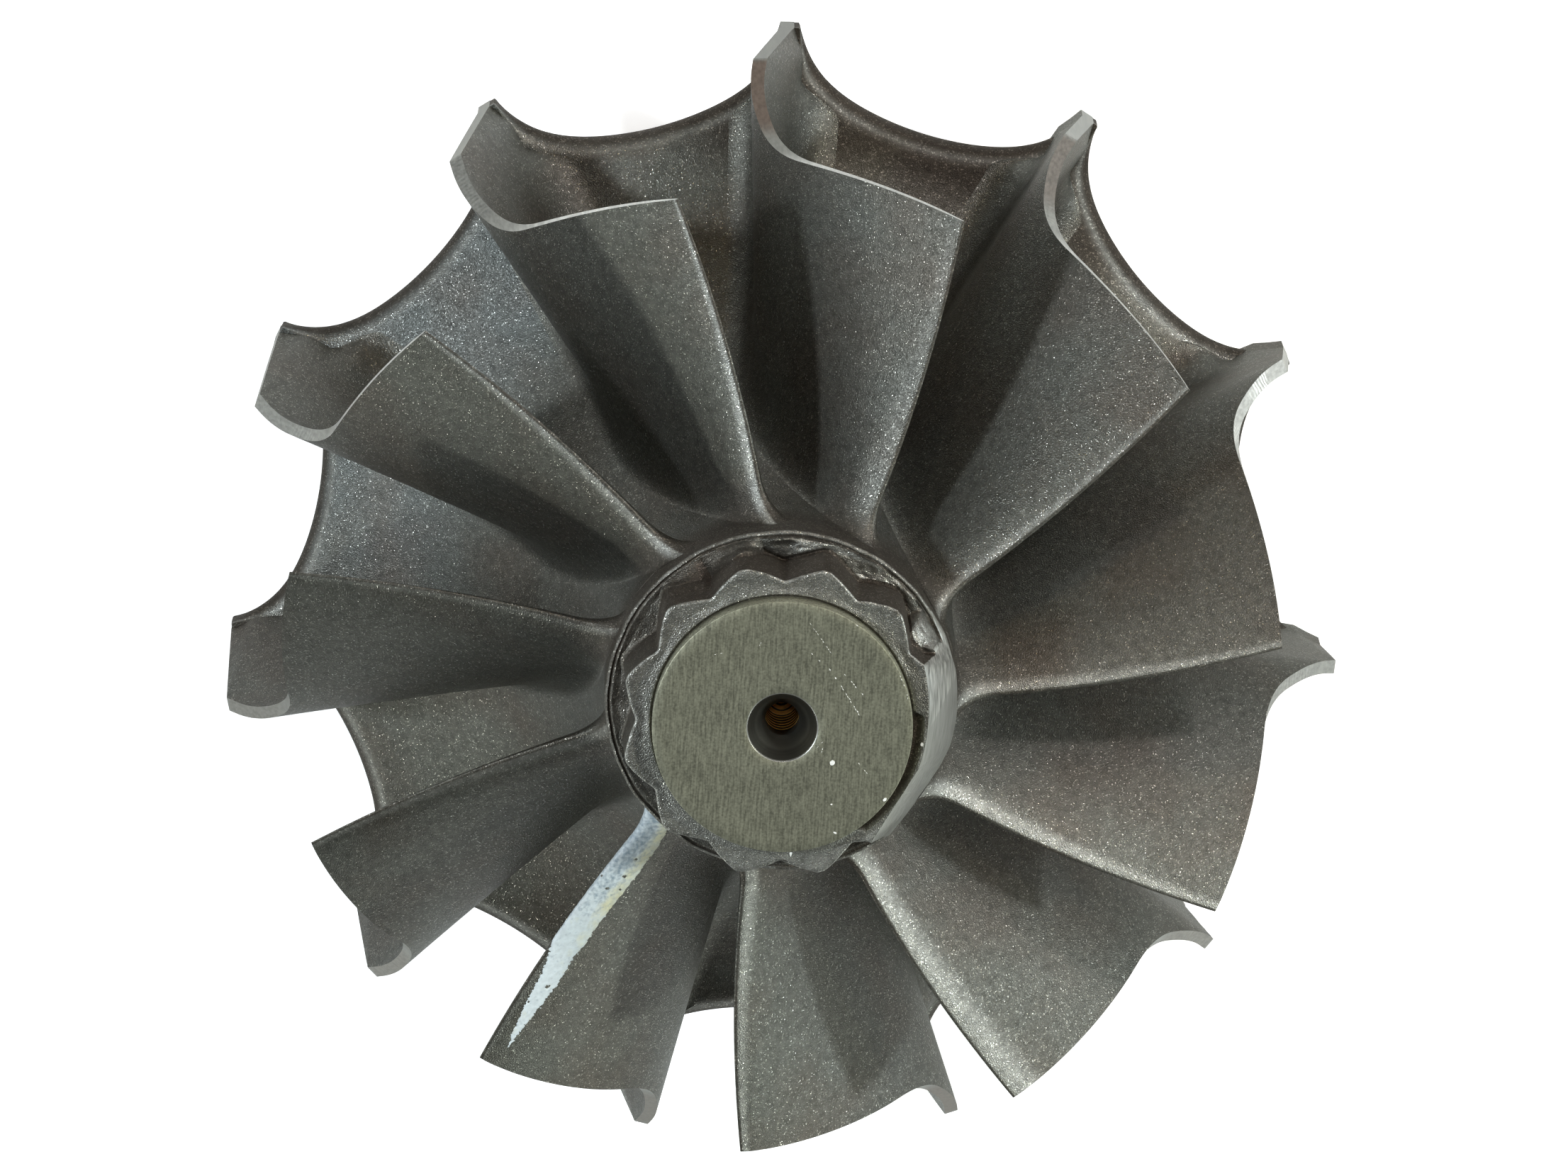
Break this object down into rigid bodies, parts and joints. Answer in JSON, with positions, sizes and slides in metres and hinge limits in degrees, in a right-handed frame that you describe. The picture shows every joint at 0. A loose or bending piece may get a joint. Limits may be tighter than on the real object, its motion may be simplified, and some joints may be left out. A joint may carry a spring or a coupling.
{
  "type": "turbocharger turbine wheel",
  "caption": "Radial-inflow turbine wheel: wrapped blades on a scalloped back disc, a multi-point drive nose with a machined end, and a weld boss at the back.",
  "frame": {"origin": "centre of the flat weld face at the back of the wheel, at the bottom of the part", "axes": "+Z along the wheel's axis, from the weld face towards the nose; X and Y across it"},
  "size_m": [0.0853, 0.0853, 0.057],
  "materials": {
    "cast_alloy": "shot-blasted heat-resisting nickel casting, dark grey with a fine sparkle and brown heat tint",
    "machined_face": "turned and lapped nickel alloy with fine straight streaks",
    "turned_metal": "turned nickel alloy, satin",
    "ground_edge": "ground nickel alloy, lighter than the casting",
    "balance_paint": "brushed white marking paint"
  },
  "bodies": {
    "root": {"hub_core": "cast_alloy", "hub_flare": "cast_alloy", "back_disc": "cast_alloy", "weld_boss": "turned_metal", "blade_01": "cast_alloy", "blade_02": "cast_alloy", "blade_03": "cast_alloy", "blade_04": "cast_alloy", "blade_05": "cast_alloy", "blade_06": "cast_alloy", "blade_07": "cast_alloy", "blade_08": "cast_alloy", "blade_09": "cast_alloy", "blade_10": "cast_alloy", "blade_11": "cast_alloy", "nose_collar": "cast_alloy", "twelve_point_drive": "cast_alloy", "machined_end": "machined_face"}
  },
  "joints": []
}
